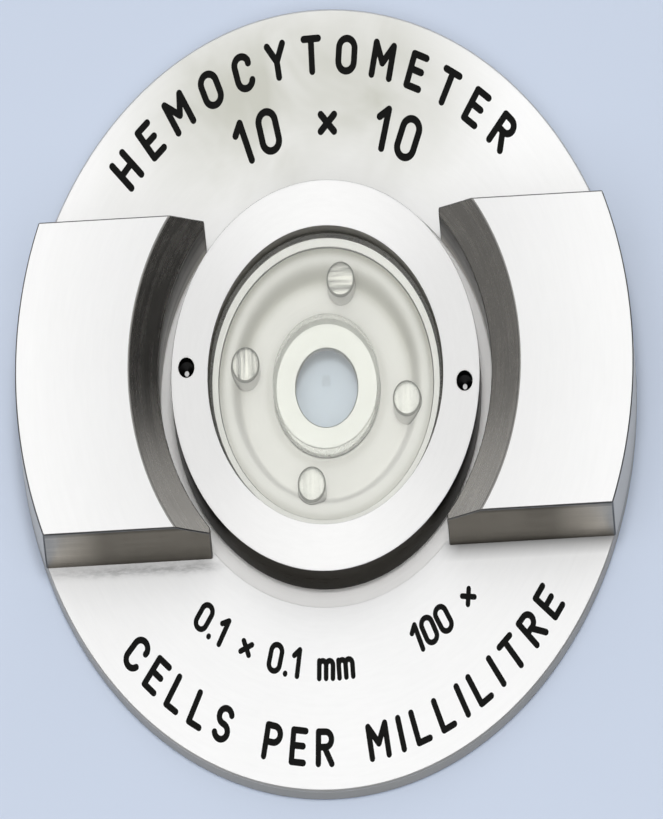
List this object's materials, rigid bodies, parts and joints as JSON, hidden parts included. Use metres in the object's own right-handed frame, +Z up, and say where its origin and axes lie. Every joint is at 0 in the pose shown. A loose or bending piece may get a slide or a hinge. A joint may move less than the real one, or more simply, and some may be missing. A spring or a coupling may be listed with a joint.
{
  "type": "hemocytometer",
  "caption": "Round metal cell-counting chamber with raised handle blocks, a moated optical flat, quartz-tipped spacer pins and a lift-off ring-mounted cover glass.",
  "frame": {"origin": "centre of the base's resting face", "axes": "+Z up along the optical axis, +X towards the right handle block, -Y towards the user"},
  "size_m": [0.075, 0.075, 0.0113],
  "materials": {
    "steel": "satin turned stainless steel",
    "steel_side": "satin milled stainless steel",
    "screw_steel": "plain steel screws",
    "blackened": "dark anodised ring",
    "seal": "matte elastomer",
    "cover_glass": "polished clear glass",
    "clear_glass": "polished clear quartz"
  },
  "bodies": {
    "base": {"base_plate": "steel", "handle_left": "steel_side", "handle_right": "steel_side", "handle_screw_left_front": "screw_steel", "handle_screw_left_back": "screw_steel", "handle_screw_right_front": "screw_steel", "handle_screw_right_back": "screw_steel", "chamber_carrier": "steel", "optical_flat": "clear_glass", "spacer_pin_1": "steel", "spacer_pin_2": "steel", "spacer_pin_3": "steel", "spacer_pin_4": "steel", "quartz_tip_1": "clear_glass", "quartz_tip_2": "clear_glass", "quartz_tip_3": "clear_glass", "quartz_tip_4": "clear_glass", "carrier_lock_ring": "blackened"},
    "cover_carriage": {"cover_seal": "seal"},
    "cover": {"cover_ring": "steel", "cover_glass": "cover_glass"}
  },
  "joints": [
    {"name": "cover_lift", "type": "slide", "parent": "base", "child": "cover_carriage", "axis": [0, 0, 1], "range_m": [0, 0.03]},
    {"name": "cover_turn", "type": "hinge", "parent": "cover_carriage", "child": "cover", "pos_m": [0, 0, 0.006], "axis": [0, 0, 1], "continuous": true}
  ]
}
